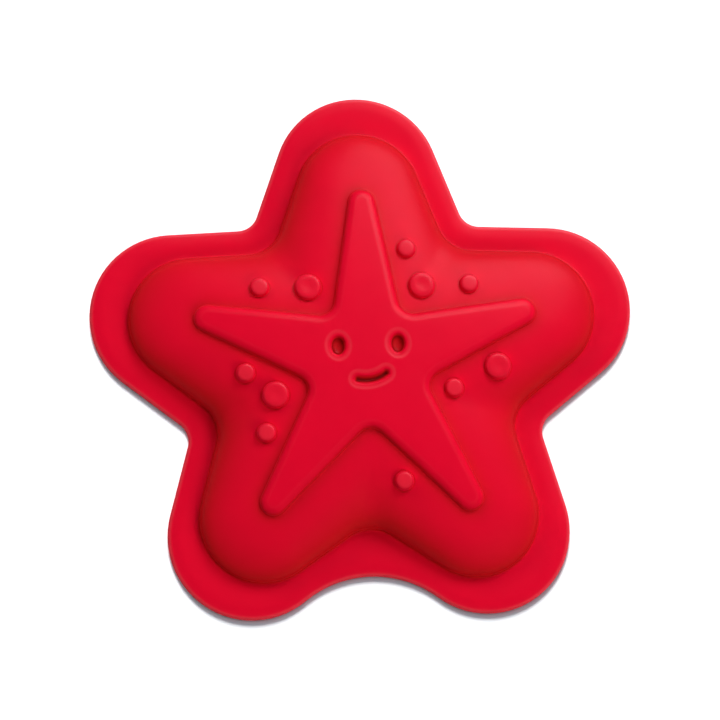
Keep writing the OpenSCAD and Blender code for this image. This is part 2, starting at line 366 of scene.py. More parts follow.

# %% [markdown]
# ## The rim
#
# The rim is the flat band that carries the mould on the sand. Its upper edge is rounded and
# its upper face falls slightly towards it, which catches a light line round the whole
# mould, and a painted highlight on those rings makes the line paler still. A band of
# constant section could be a curve with a bevel, but here the section changes round the
# star, so rings are joined instead. They go from the ground over the edge to the body's
# foot, and down again inside the mouth, where the last band closes the shell.

# %% Rim region
RIM_FOOT_R = 0.4
RIM_EDGE_R = 0.9
RIM_FALL_W = 3.6
RIM_FALL = 0.3
RIM_FALL_SHARES = (0.2, 0.4, 0.6, 0.8, 1.0)
RIM_FLAT_SHARES = (0.35, 0.7)
# Painted highlight on the rim's outer edge and the start of its fall.
PAINTED_RIM_FOOT_LIGHT = 0.3
PAINTED_RIM_FALL_LIGHT = 0.2


def rim_ring(depth):
    return outline(inset(rim_star, depth), inset(arch_star, depth))


def rim_outside(shell):
    """Rings from the ground over the edge and up to the body's foot."""
    edge_top = RIM_T - RIM_FALL
    rings = []
    for a in rounded(SMALL_ROUND):
        depth, rise = RIM_FOOT_R * (1 - sin(a)), RIM_FOOT_R * (1 - cos(a))
        rings.append(shell.ring(rim_ring(depth), rise, PAINTED_RIM_FOOT_LIGHT * sin(a)))
    for a in rounded(LARGE_ROUND):
        depth, rise = RIM_EDGE_R * (1 - cos(a)), edge_top - RIM_EDGE_R * (1 - sin(a))
        # Painted highlight, palest halfway round the edge.
        tone = PAINTED_RIM_FOOT_LIGHT + (1 - PAINTED_RIM_FOOT_LIGHT) * sin(2 * a)
        rings.append(shell.ring(rim_ring(depth), rise, tone))
    for share in RIM_FALL_SHARES:
        depth = RIM_EDGE_R + (RIM_FALL_W - RIM_EDGE_R) * share
        rise = edge_top + RIM_FALL * sin(share * pi / 2)
        rings.append(shell.ring(rim_ring(depth), rise, PAINTED_RIM_FALL_LIGHT * (1 - share) ** 2))
    inner, body_edge = rim_ring(RIM_FALL_W), outline(inset(body_star, -FILLET_R))
    for share in RIM_FLAT_SHARES:
        rings.append(shell.ring(inner + (body_edge - inner) * share, RIM_T))
    rings.append(shell.ring(body_edge, RIM_T))
    return rings


def rim_inside(shell):
    """Rings of the mouth, from the body's foot down to the ground."""
    wall_foot = outline(inset(body_star, WALL))
    rings = [shell.ring(wall_foot, RIM_T), shell.ring(wall_foot, RIM_FOOT_R)]
    for a in rounded(SMALL_ROUND)[1:]:
        depth, rise = WALL - RIM_FOOT_R * (1 - cos(a)), RIM_FOOT_R * (1 - sin(a))
        rings.append(shell.ring(outline(inset(body_star, depth)), rise))
    return rings


def make_rim():
    shell = Shell()
    outside, mouth = rim_outside(shell), rim_inside(shell)
    shell.bands(outside)
    shell.band(outside[-1], mouth[0], hidden=True)
    shell.bands(mouth)
    shell.band(mouth[-1], outside[0])
    return shell


rim = make_rim()
print("rim:", len(rim.points), "points,", len(rim.faces), "faces")

# %% [markdown]
# ## Places of the pips
#
# Eleven round pips stand beside the starfish's arms, the larger ones near its middle. Their
# places are shares of the starfish's reach, so they move with it. The body leaves a round
# hole for each pip, a little wider than the pip, where the pip's soft foot fits in.

# %% The pips' places
LARGE_PIP_R = 3.2
SMALL_PIP_R = 2.3
PIP_FILLET_R = 0.5
PIP_SIDES = 34
DIMPLE = 0.14
LARGE_PIP_SHARES = [(-0.345, 0.478), (0.342, 0.476), (0.785, -0.025), (-0.559, -0.172)]
SMALL_PIP_SHARES = [(-0.634, 0.487), (0.632, 0.485), (0.258, 0.707), (-0.733, -0.034),
                    (-0.619, -0.397), (0.512, -0.156), (0.193, -0.706)]
pips = [(np.array(s) * FISH_REACH, LARGE_PIP_R, DIMPLE) for s in LARGE_PIP_SHARES]
pips += [(np.array(s) * FISH_REACH, SMALL_PIP_R, 0.0) for s in SMALL_PIP_SHARES]


def circle(place, radius):
    return place + radius * on_circle(np.linspace(0, 2 * pi, PIP_SIDES, endpoint=False))


def from_pips(p):
    """Distance to the nearest pip's foot."""
    return np.min([np.hypot(*(p - place).T) - r - PIP_FILLET_R for place, r, _ in pips], 0)


print(len(pips), "pips")

# %% [markdown]
# ## The body
#
# The body's outside starts with a small fillet on the rim, climbs almost upright and rounds
# over. Rings follow the foot closely there, because the surface turns fast, and an even
# fill takes over where it is calm. The inside repeats the outside one wall's thickness
# deeper. Holes are left for the starfish and the pips, whose shells fit them exactly. Shade
# is painted into the colour: the tone turns a darker, browner red where the side is steep
# and beside the starfish, where shade falls.

# %% Painted shade of the body
# Painted shade: a darker tone on steeper slopes and beside the starfish's foot.
SLOPES = (8, 18, 25, 38, 52, 70, 88)
PAINTED_SLOPE_SHADES = (0.0, -0.08, -0.16, -0.3, -0.42, -0.45, -0.38)
SLOPE_REACH = 0.05
PAINTED_SHADE_NEAR_FISH = -0.35
PAINTED_SHADE_NEAR_FISH_W = 1.6


def painted_slope_shade(flat):
    """Painted shade, darker where the body's side is steeper and nearer the starfish."""
    rises = [body_top(flat + step) - body_top(flat - step)
             for step in ([SLOPE_REACH, 0], [0, SLOPE_REACH])]
    slope = np.degrees(np.arctan(np.hypot(*rises) / (2 * SLOPE_REACH)))
    # Painted shade that fades out with distance from the starfish's foot.
    near = np.exp(np.minimum(depth_inside(flat, fish_star) / PAINTED_SHADE_NEAR_FISH_W, 0))
    return np.interp(slope, SLOPES, PAINTED_SLOPE_SHADES) + PAINTED_SHADE_NEAR_FISH * near


print("tone at the middle:", round(float(painted_slope_shade(np.zeros((1, 2)))[0]), 2))

# %% Body region
FOOT_DEPTHS = (0.01, 0.03, 0.07, 0.13, 0.22, 0.35, 0.52, 0.75, 1.05, 1.45, 1.95, 2.6, 3.4)
BODY_STEP = 1.0
FISH_FILLET_R = 0.4
fish_foot = outline(inset(fish_star, -FISH_FILLET_R))


def field_clearance(depth):
    """For a fill of the body: distance to the nearest edge of the field."""
    return lambda p: np.min([depth_inside(p, body_star) - depth,
                             -FISH_FILLET_R - depth_inside(p, fish_star), from_pips(p)], 0)


def body_holes(shell, height):
    """The hole for the starfish and those for the pips, on one side of the wall."""
    holes = [shell.ring(fish_foot, height(fish_foot), painted_slope_shade(fish_foot))]
    for place, r, _ in pips:
        flat = circle(place, r + PIP_FILLET_R)
        holes.append(shell.ring(flat, height(flat)))
    return holes


def make_body():
    shell = Shell()
    # The fillet's rings get painted shade by their slope.
    foot = [shell.ring(outline(inset(body_star, -FILLET_R * (1 - sin(a)))),
                       RIM_T + FILLET_R * (1 - cos(a)), np.interp(degrees(a), SLOPES, PAINTED_SLOPE_SHADES))
            for a in rounded(LARGE_ROUND)]
    for depth in FOOT_DEPTHS:
        flat = outline(inset(body_star, depth))
        foot.append(shell.ring(flat, body_top(flat), painted_slope_shade(flat)))
    mouth = [shell.ring(outline(inset(body_star, WALL)), RIM_T)]
    for depth in FOOT_DEPTHS:
        flat = outline(inset(body_star, WALL + depth))
        mouth.append(shell.ring(flat, body_under(flat)))
    shell.bands(foot)
    shell.bands(mouth)
    shell.band(foot[0], mouth[0], hidden=True)
    over, under = body_holes(shell, body_top), body_holes(shell, body_under)
    for outer, inner in zip(over, under):
        shell.band(outer, inner, hidden=True)
    last = FOOT_DEPTHS[-1]
    shell.fill([foot[-1]] + over, field_clearance(last), body_top, BODY_STEP, painted_slope_shade)
    shell.fill([mouth[-1]] + under, field_clearance(WALL + last), body_under, BODY_STEP)
    return shell


body = make_body()
print("body:", len(body.points), "points,", len(body.faces), "faces")

# %% [markdown]
# ## The outlines of the face
#
# The eyes are upright ovals, the right one a touch higher, and the smile is a short arc with
# round ends, tilted a little. Each recess has a soft lip, so its outline is drawn again and
# again, grown by a margin. A height map pressed in by a displacement would need a very fine
# mesh all over, but with rings the mesh is fine only where the recess is.

# %% Eyes and smile
EYE_SPACING = 14.2
EYE_RISE = 4.35
EYE_TILT = 0.15
EYE_W = 3.3
EYE_L = 4.4
EYE_DEPTH = 2.2
EYE_SIDES = 48
SMILE_R = 7.9
SMILE_HALF = radians(25.5)
SMILE_DROP = 4.15
SMILE_SIDE = 0.8
SMILE_TILT = radians(11.5)
SMILE_W = 1.5
SMILE_DEPTH = 1.3
SMILE_STEPS, SMILE_END_STEPS = 14, 9
SMILE_CENTRE = np.array([-SMILE_SIDE, SMILE_R - SMILE_DROP])


def eye(side, grow):
    a = np.linspace(0, 2 * pi, EYE_SIDES, endpoint=False)
    return np.column_stack([side * EYE_SPACING / 2 + (EYE_W / 2 + grow) * np.cos(a),
                            EYE_RISE + side * EYE_TILT + (EYE_L / 2 + grow) * np.sin(a)])


def off_eye(p, side, grow):
    """Distance outside an eye's outline grown by a margin."""
    a, b = EYE_W / 2 + grow, EYE_L / 2 + grow
    q = p - [side * EYE_SPACING / 2, EYE_RISE + side * EYE_TILT]
    return (np.hypot(q[:, 0] / a, q[:, 1] / b) - 1) * a


def smile(grow):
    half = SMILE_W / 2 + grow
    low, high = -pi / 2 - SMILE_HALF, -pi / 2 + SMILE_HALF
    under = (SMILE_R + half) * on_circle(np.linspace(low, high, SMILE_STEPS + 1))
    over = (SMILE_R - half) * on_circle(np.linspace(high, low, SMILE_STEPS + 1))
    ends = np.linspace(0, pi, SMILE_END_STEPS + 1)[1:-1]
    right = SMILE_R * on_circle(np.array(high)) + half * on_circle(high + ends)
    left = SMILE_R * on_circle(np.array(low)) + half * on_circle(low + pi + ends)
    return turned(np.concatenate([under, right, over, left]), SMILE_TILT) + SMILE_CENTRE


def off_smile(p, grow):
    """Distance outside the smile's outline grown by a margin."""
    q = turned(p - SMILE_CENTRE, -SMILE_TILT)
    angle = np.arctan2(q[:, 1], q[:, 0]) + pi / 2
    near = np.clip(angle, -SMILE_HALF, SMILE_HALF) - pi / 2
    return np.hypot(*(q - SMILE_R * on_circle(near)).T) - SMILE_W / 2 - grow


recesses = [(lambda g: eye(-1, g), lambda p, g: off_eye(p, -1, g)),
            (lambda g: eye(1, g), lambda p, g: off_eye(p, 1, g)),
            (smile, off_smile)]
print(f"{len(recesses)} recesses, the eyes {EYE_SPACING} mm apart")

# %% [markdown]
# ## The starfish and its face
#
# The starfish stands two millimetres proud, with a hollow fillet at its foot and a full,
# rounded edge, like a shape pressed out of dough. The eyes and the smile are recesses with
# soft lips and steep walls. Inside the mould, a star-shaped hollow follows the starfish, and
# a boss goes down round each recess, so that the wall stays closed and even. A bevel
# modifier would round the edges too, but it can't give a foot and an edge of different
# radii, so the profiles are written out ring by ring. A row of the lip's profile holds the
# margin round the recess, the fall below the starfish's top, and the tone, a painted
# highlight on the lip that turns to painted shade at its inner edge. A row of the bowl's or
# the groove's holds a share of the way in, a share of the depth, and the tone, painted
# shade that darkens the recess.

# %% Recesses and bosses
# Last in each row: a painted highlight on the lip, painted shade down into the recess.
LIP_PROFILE = ((1.75, 0.0, 0.25), (1.6, 0.005, 0.4), (1.45, 0.015, 0.5), (1.3, 0.035, 0.55),
               (1.1, 0.065, 0.5), (0.9, 0.085, 0.4), (0.7, 0.1, 0.25), (0.5, 0.12, 0.1),
               (0.35, 0.16, 0.0), (0.22, 0.23, 0.0), (0.12, 0.33, -0.05), (0.05, 0.46, -0.1))
BOWL_PROFILE = ((0.0, 0.32, -0.05), (0.05, 0.5, -0.3), (0.11, 0.68, -0.55), (0.2, 0.81, -0.75),
                (0.35, 0.91, -0.6), (0.55, 0.97, -0.45), (0.8, 1.0, -0.4))
GROOVE_PROFILE = ((0.0, 0.44, -0.2), (0.12, 0.56, -0.35), (0.26, 0.7, -0.5),
                  (0.42, 0.83, -0.65), (0.6, 0.93, -0.8), (0.8, 1.0, -0.9))
HOLLOWS = ((EYE_W / 2, EYE_DEPTH, BOWL_PROFILE), (EYE_W / 2, EYE_DEPTH, BOWL_PROFILE),
           (SMILE_W / 2, SMILE_DEPTH, GROOVE_PROFILE))
BOSS_FILLET_R = 0.2
BOSS_EDGE_R = 0.4


def fish_top(p):
    return body_top(p) + FISH_H


def fish_roof(p):
    return body_top(p) + FISH_H - WALL


def off_recesses(p, grow):
    return np.min([off(p, grow) for _, off in recesses], 0)


def lip_rings(shell, grown, half_w, depth, profile):
    """A recess: from its lip's outer edge over the rounding and down to its floor."""
    rings = []
    for margin, fall, tone in LIP_PROFILE:
        flat = grown(margin)
        rings.append(shell.ring(flat, fish_top(flat) - fall, tone))
    for share, fall_share, tone in profile:
        rings.append(shell.ring(grown(-share * half_w), FACE_TOP - fall_share * depth, tone))
    return rings


def boss_rings(shell, grown, depth):
    """The wall round a recess as seen from inside the mould."""
    rings = []
    for a in rounded(SMALL_ROUND):
        flat = grown(WALL + BOSS_FILLET_R * (1 - sin(a)))
        rings.append(shell.ring(flat, fish_roof(flat) - BOSS_FILLET_R * (1 - cos(a))))
    under = FACE_TOP - depth - WALL
    for a in rounded(SMALL_ROUND):
        rings.append(shell.ring(grown(WALL - BOSS_EDGE_R * (1 - cos(a))),
                                under + BOSS_EDGE_R * (1 - sin(a))))
    return rings


print("rings down each eye:", len(LIP_PROFILE) + len(BOWL_PROFILE))

# %% Rings of the starfish
FISH_EDGE_W = 2.4
FISH_EDGE_POWER = 2.3
FISH_FOOT_RINGS, FISH_EDGE_RINGS = 6, 12
# Painted shade at the starfish's foot, a painted highlight along its upper edge.
FISH_EDGE_ANGLES = (0, 20, 40, 60, 80, 90)
PAINTED_FISH_EDGE_LIGHT_SHADE = (-0.3, -0.25, -0.1, 0.15, 0.3, 0.05)
HOLLOW_FOOT = ((0.6, 0.0), (1.1, 0.03), (1.4, 0.15), (1.55, 0.35))
HOLLOW_EDGE = ((1.62, 0.5), (1.72, 0.22), (1.9, 0.06), (2.15, 0.0))


def fish_ring(depth):
    return outline(inset(fish_star, depth))


def fish_outside(shell):
    """Rings from the fillet at the starfish's foot over its full edge."""
    rings = []
    for a in rounded(FISH_FOOT_RINGS):
        flat = fish_ring(-FISH_FILLET_R * (1 - sin(a)))
        rings.append(shell.ring(flat, body_top(flat) + FISH_FILLET_R * (1 - cos(a)),
                                painted_slope_shade(flat)))
    power = 2 / FISH_EDGE_POWER
    for a in rounded(FISH_EDGE_RINGS)[1:]:
        flat = fish_ring(FISH_EDGE_W * (1 - cos(a) ** power))
        rise = FISH_FILLET_R + (FISH_H - FISH_FILLET_R) * sin(a) ** power
        tone = np.interp(degrees(a), FISH_EDGE_ANGLES, PAINTED_FISH_EDGE_LIGHT_SHADE)
        rings.append(shell.ring(flat, body_top(flat) + rise, tone))
    return rings


def fish_inside(shell):
    """Rings of the hollow under the starfish, from its foot up and over its edge."""
    rings = [shell.ring(fish_foot, body_under(fish_foot))]
    for depth, rise in HOLLOW_FOOT:
        flat = fish_ring(depth)
        rings.append(shell.ring(flat, body_under(flat) + rise))
    for depth, fall in HOLLOW_EDGE:
        flat = fish_ring(depth)
        rings.append(shell.ring(flat, fish_roof(flat) - fall))
    return rings


print("rings up the starfish's edge:", FISH_FOOT_RINGS + FISH_EDGE_RINGS - 1)

# %% Starfish region
FISH_STEP = 0.8
ROOF_STEP = 1.2
FLOOR_STEP = 5.0


def make_fish():
    shell = Shell()
    edge = fish_outside(shell)
    shell.bands(edge)
    lips = [lip_rings(shell, grown, *hollow) for (grown, _), hollow in zip(recesses, HOLLOWS)]
    for rings, (_, off), (half_w, _, profile) in zip(lips, recesses, HOLLOWS):
        shell.bands(rings)
        floor_inset = profile[-1][0] * half_w
        shell.fill([rings[-1]], lambda p: -off(p, -floor_inset), fish_top, FLOOR_STEP)
    shell.fill([edge[-1]] + [rings[0] for rings in lips],
               lambda p: np.minimum(depth_inside(p, fish_star) - FISH_EDGE_W,
                                    off_recesses(p, LIP_PROFILE[0][0])), fish_top, FISH_STEP)
    under = fish_inside(shell)
    shell.band(edge[0], under[0], hidden=True)
    shell.bands(under)
    bosses = [boss_rings(shell, grown, depth)
              for (grown, _), (_, depth, _) in zip(recesses, HOLLOWS)]
    for rings, (_, off) in zip(bosses, recesses):
        shell.bands(rings)
        shell.fill([rings[-1]], lambda p: -off(p, WALL - BOSS_EDGE_R), fish_top, FLOOR_STEP)
    shell.fill([under[-1]] + [rings[0] for rings in bosses],
               lambda p: np.minimum(depth_inside(p, fish_star) - HOLLOW_EDGE[-1][0],
                                    off_recesses(p, WALL + BOSS_FILLET_R)), fish_roof, ROOF_STEP)
    return shell


fish = make_fish()
print("starfish:", len(fish.points), "points,", len(fish.faces), "faces")

# %% [markdown]
# ## The pips
#
# Each pip is a short round knob with a soft foot. The large ones have a shallow dimple in
# their flat top, and the small ones are rounded a little more. Their tops lean less than half
# as much as the body under them, so a pip on a slope stands out more on its lower side. Pip
# and body are therefore two height fields, and a smooth maximum of the two blends the foot,
# as a boolean union with a fillet would, but with rings that stay tidy. A pit on the inside
# keeps the wall even.

# %% Heights of the pips
PIP_H = 1.8
PIP_SINK = 1.8
PIP_LEAN = 0.4
PIP_SIDE_FALL = 20
PIP_BLEND = 0.45
LARGE_PIP_POWER, SMALL_PIP_POWER = 7.5, 6.5
DIMPLE_SHARE = 0.65


def smooth_max(a, b, width):
    near = np.maximum(width - np.abs(a - b), 0) / width
    return np.maximum(a, b) + near * near * width / 4


def pip_height(flat, place, r, dimple):
    """The body's skin with a pip rising out of it."""
    off = np.hypot(*(flat - place).T)
    power = LARGE_PIP_POWER if dimple else SMALL_PIP_POWER
    share = np.clip(1 - (off / r) ** power, 0, 1) ** (1 / power)
    centre = body_top(np.array([place]))[0]
    base = centre + PIP_LEAN * (body_top(flat) - centre)
    sides = (PIP_H + PIP_SINK) * (1 - share)
    top = base + PIP_H - sides - PIP_SIDE_FALL * np.maximum(off - r, 0)
    top = top - dimple * (1 + np.cos(pi * np.clip(off / (DIMPLE_SHARE * r), 0, 1))) / 2
    return smooth_max(body_top(flat), top, PIP_BLEND)


place, r, dimple = pips[0]
print("height of the first pip's middle:",
      round(float(pip_height(np.array([place]), place, r, dimple)[0]), 2))

# %% Rings of the pips
PIP_STEPS = (0.5, 0.36, 0.25, 0.16, 0.08, 0.02, -0.04, -0.1, -0.18, -0.3, -0.45, -0.65, -0.9,
             -1.25, -1.65)
DIMPLE_STEPS = (-2.1, -2.6)
# Painted highlight on the pips' tops and edges, painted shade round their feet.
PIP_TONE_STEPS = (-0.8, -0.35, -0.05, 0.1, 0.3, 0.5)
PAINTED_PIP_LIGHT_SHADE = (0.35, 0.1, -0.25, -0.3, 0.0)
LARGE_PIP_PAINTED_HIGHLIGHT, SMALL_PIP_PAINTED_HIGHLIGHT = 0.3, 0.45
PIT_EDGE_R = 0.3


def pip_outside(shell, place, r, dimple):
    """Rings from a pip's foot up and in, closed in the middle of its top."""
    rings = []
    painted_top_highlight = LARGE_PIP_PAINTED_HIGHLIGHT if dimple else SMALL_PIP_PAINTED_HIGHLIGHT
    for step in PIP_STEPS + (DIMPLE_STEPS if dimple else ()):
        flat = circle(place, r + step)
        tone = np.interp(step, PIP_TONE_STEPS, (painted_top_highlight,) + PAINTED_PIP_LIGHT_SHADE)
        rings.append(shell.ring(flat, pip_height(flat, place, r, dimple), tone))
    shell.bands(rings)
    shell.fan(rings[-1], place, pip_height(np.array([place]), place, r, dimple), painted_top_highlight)
    return rings[0]


def pip_inside(shell, place, r):
    """Rings of the pit under a pip, closed at its ceiling."""
    pit_r = r - WALL
    flat = circle(place, r + PIP_STEPS[0])
    rings = [shell.ring(flat, body_under(flat))]
    for a in rounded(SMALL_ROUND):
        flat = circle(place, pit_r + PIT_EDGE_R * (1 - sin(a)))
        rings.append(shell.ring(flat, body_under(flat) + PIT_EDGE_R * (1 - cos(a))))
    ceiling = body_top(np.array([place]))[0] + PIP_H - WALL
    for a in rounded(SMALL_ROUND):
        rings.append(shell.ring(circle(place, pit_r - PIT_EDGE_R * (1 - cos(a))),
                                ceiling - PIT_EDGE_R * (1 - sin(a))))
    shell.bands(rings)
    shell.fan(rings[-1], place, ceiling)
    return rings[0]


print("rings on a small pip:", len(PIP_STEPS), "and on a large one:",
      len(PIP_STEPS + DIMPLE_STEPS))

# %% Pip regions
large, small = Shell(), Shell()
for place, r, dimple in pips:
    shell = large if dimple else small
    foot = pip_outside(shell, place, r, dimple)
    shell.band(foot, pip_inside(shell, place, r), hidden=True)
print("pips:", len(large.points) + len(small.points), "points")

# %% [markdown]
# ## From shells to meshes
#
# Each shell becomes a mesh of its own, in metres, and moves so that the middle of the whole
# mould lies over the frame's origin. The hidden marks and the tones of painted light and
# shade are stored as attributes, which the later steps read. BMesh turns all faces outward
# and counts the open edges, and there may be none, because each region is a closed solid.

# %% Build the pieces
M3_TO_CM3 = 1e6


def turn_outward(mesh):
    work = bmesh.new()
    work.from_mesh(mesh)
    bmesh.ops.recalc_face_normals(work, faces=work.faces[:])
    if work.calc_volume(signed=True) < 0:
        bmesh.ops.reverse_faces(work, faces=work.faces[:])
    volume = round(work.calc_volume() * M3_TO_CM3, 2)
    open_edges = sum(not e.is_manifold for e in work.edges)
    print(mesh.name, "volume", volume, "cm3, open edges", open_edges)
    work.to_mesh(mesh)
    work.free()


def to_mesh(name, shell):
    points = (np.array(shell.points) - [0, STAR_SHIFT, 0]) * MM
    mesh = bpy.data.meshes.new(name)
    mesh.from_pydata(points.tolist(), [], shell.faces)
    mesh.update()
    hidden = mesh.attributes.new("hidden", "BOOLEAN", "FACE")
    hidden.data.foreach_set("value", shell.hidden)
    # The tones of painted light and shade, one for each point.
    tone = mesh.attributes.new("painted_light_and_shade", "FLOAT", "POINT")
    tone.data.foreach_set("value", np.array(shell.tones, np.float32))
    turn_outward(mesh)
    piece = bpy.data.objects.new(name, mesh)
    bpy.context.scene.collection.objects.link(piece)
    return piece


pieces = {
    "rim_flange": to_mesh("moulded_rim", rim),
    "domed_body": to_mesh("moulded_body", body),
    "starfish_relief": to_mesh("moulded_starfish", fish),
    "large_pips": to_mesh("moulded_large_pips", large),
    "small_pips": to_mesh("moulded_small_pips", small),
}

# %% [markdown]
# ## One smooth skin
#
# The five regions are one moulding, so no seam may show between them. Their edges already
# coincide. What is left is the shading: a normal at a seam has to be the same on both
# sides. So the normals are averaged over the whole skin, region borders included, and given
# to the meshes as custom normals. A data transfer modifier could copy normals from a joined
# mesh, but averaging them here is exact. The hidden faces keep their own flat normals.

# %% Share the normals across the seams
CELL = 1e-4
TINY = 1e-12


def unit(vectors):
    return vectors / np.maximum(np.linalg.norm(vectors, axis=1), TINY)[:, None]


def corner_data(mesh):
    """For each face corner its point's place, its face and its angle; for each face its
    normal and whether it is hidden."""
    count = len(mesh.loops)
    vertex = np.empty(count, np.int32)
    mesh.loops.foreach_get("vertex_index", vertex)
    places = np.empty(len(mesh.vertices) * 3)
    mesh.vertices.foreach_get("co", places)
    places = places.reshape(-1, 3)
    starts = np.empty(len(mesh.polygons), np.int32)
    totals = np.empty(len(mesh.polygons), np.int32)
    mesh.polygons.foreach_get("loop_start", starts)
    mesh.polygons.foreach_get("loop_total", totals)
    face = np.repeat(np.arange(len(starts)), totals)
    index = np.arange(count)
    after = np.where(index + 1 < (starts + totals)[face], index + 1, starts[face])
    before = np.where(index > starts[face], index - 1, (starts + totals)[face] - 1)
    here, ahead, behind = places[vertex], places[vertex[after]], places[vertex[before]]
    turn = (unit(ahead - here) * unit(behind - here)).sum(1)
    angle = np.arccos(np.clip(turn, -1, 1))
    normals = np.empty(len(mesh.polygons) * 3)
    mesh.polygons.foreach_get("normal", normals)
    hidden = np.empty(len(mesh.polygons), bool)
    mesh.attributes["hidden"].data.foreach_get("value", hidden)
    return here, face, angle, normals.reshape(-1, 3), hidden


def share_normals(objects):
    data = [corner_data(o.data) for o in objects]
    shown = [~hidden[face] for _, face, _, _, hidden in data]
    places = np.concatenate([d[0][seen] for d, seen in zip(data, shown)])
    weighted = np.concatenate([(normals[face] * angle[:, None])[seen]
                               for (_, face, angle, normals, _), seen in zip(data, shown)])
    keys = np.round(places / (CELL * MM)).astype(np.int64)
    unique, number = np.unique(keys, axis=0, return_inverse=True)
    number = number.reshape(-1)
    total = np.zeros((len(unique), 3))
    np.add.at(total, number, weighted)
    total = unit(total)
    start = 0
    for o, (_, face, _, normals, _), seen in zip(objects, data, shown):
        corners = normals[face].copy()
        corners[seen] = total[number[start:start + seen.sum()]]
        start += seen.sum()
        o.data.polygons.foreach_set("use_smooth", np.ones(len(o.data.polygons), bool))
        o.data.normals_split_custom_set(corners.tolist())
    return len(unique)


print("skin points with shared normals:", share_normals(list(pieces.values())))

# %% [markdown]
# ## Satin silicone
#
# The mould is red silicone, dyed right through, with a fine matt bite. Its flats are a strong
# red. Its raised edges are drawn paler with a painted highlight, and its creases, steep sides
# and recesses darker and browner with painted shade. Subsurface scattering could lighten the
# thin edges, but it is slow and softens the small lips too much. So a ramp of colours follows
# the tone of painted light and shade stored on the points. Most of the surface has hardly any
# mirror shine, which would grey the red. A thin, dull coat shines on the raised edges only,
# the roughness is a little uneven, and a fine grain bumps the surface.

# %% Helpers for the nodes
NOISE_SPAN = (0.3, 0.7)


def link(tree, a, out, b, into):
    tree.links.new(a.outputs[out], b.inputs[into])


def noise(tree, place, scale, detail):
    node = tree.nodes.new("ShaderNodeTexNoise")
    node.inputs["Scale"].default_value = scale
    node.inputs["Detail"].default_value = detail
    link(tree, place, "Object", node, "Vector")
    return node


def ranged(tree, source, out, span, new_span):
    """Maps a span of values onto another span, clamped at its ends."""
    node = tree.nodes.new("ShaderNodeMapRange")
    ends = dict(zip(("From Min", "From Max", "To Min", "To Max"), (*span, *new_span)))
    for name, value in ends.items():
        node.inputs[name].default_value = value
    link(tree, source, out, node, "Value")
    return node


print("most values of a noise lie between", *NOISE_SPAN)

# %% The silicone's colour and shine
RED = (0.72, 0.0025, 0.0255, 1)
# Below zero a darker, browner red for painted shade, above zero a paler red for a highlight.
PAINTED_LIGHT_SHADE_COLOURS = {-1.0: (0.1, 0.003, 0.002, 1), -0.4: (0.57, 0.006, 0.0125, 1), 0.0: RED,
                0.2: RED, 1.0: (0.74, 0.035, 0.062, 1)}
MOTTLE_SCALE, MOTTLE_DETAIL = 90.0, 3.0
MOTTLE_LEVELS = (0.97, 1.02)
ROUGHNESS_TONES = (-0.2, 0.5)
ROUGHNESS = (0.34, 0.28)
PATCH_SCALE, PATCH_DETAIL = 350.0, 2.0
PATCH_ROUGHNESS = (-0.04, 0.04)
COAT_TONES = (0.1, 0.5)
COAT = 0.12


def painted_light_shade_ramp(tree, painted_light_shade):
    """Painted light and shade: from a crease's shade to a raised edge's highlight."""
    place = ranged(tree, painted_light_shade, "Fac", (-1.0, 1.0), (0.0, 1.0))
    ramp = tree.nodes.new("ShaderNodeValToRGB")
    stops = ramp.color_ramp.elements
    for tone in list(PAINTED_LIGHT_SHADE_COLOURS)[1:-1]:
        stops.new((tone + 1) / 2)
    for stop, colour in zip(stops, PAINTED_LIGHT_SHADE_COLOURS.values()):
        stop.color = colour
    link(tree, place, "Result", ramp, "Fac")
    return ramp


def mottled_colour(tree, place, painted_light_shade):
    """Painted light and shade, a few per cent lighter and darker in soft patches."""
    mottle = noise(tree, place, MOTTLE_SCALE, MOTTLE_DETAIL)
    level = ranged(tree, mottle, "Fac", NOISE_SPAN, MOTTLE_LEVELS)
    shade = tree.nodes.new("ShaderNodeVectorMath")
    shade.operation = "SCALE"
    link(tree, painted_light_shade_ramp(tree, painted_light_shade), "Color", shade, "Vector")
    link(tree, level, "Result", shade, "Scale")
    return shade


def uneven_roughness(tree, place, painted_light_shade):
    """Smoother on raised edges, and rougher or smoother in small patches."""
    patches = noise(tree, place, PATCH_SCALE, PATCH_DETAIL)
    rough = tree.nodes.new("ShaderNodeMath")
    rough.operation = "ADD"
    link(tree, ranged(tree, painted_light_shade, "Fac", ROUGHNESS_TONES, ROUGHNESS), "Result", rough, 0)
    link(tree, ranged(tree, patches, "Fac", NOISE_SPAN, PATCH_ROUGHNESS), "Result", rough, 1)
    return rough


print("colours of the ramp:", len(PAINTED_LIGHT_SHADE_COLOURS))

# %% The silicone material
GRAIN_SCALE, GRAIN_DETAIL = 3200.0, 2.0
GRAIN_STRENGTH = 0.6
GRAIN_DEPTH = 0.04 * MM
SHINE = 0.0125


def fine_grain(tree, place):
    bump = tree.nodes.new("ShaderNodeBump")
    bump.inputs["Strength"].default_value = GRAIN_STRENGTH
    bump.inputs["Distance"].default_value = GRAIN_DEPTH
    link(tree, noise(tree, place, GRAIN_SCALE, GRAIN_DETAIL), "Fac", bump, "Height")
    return bump


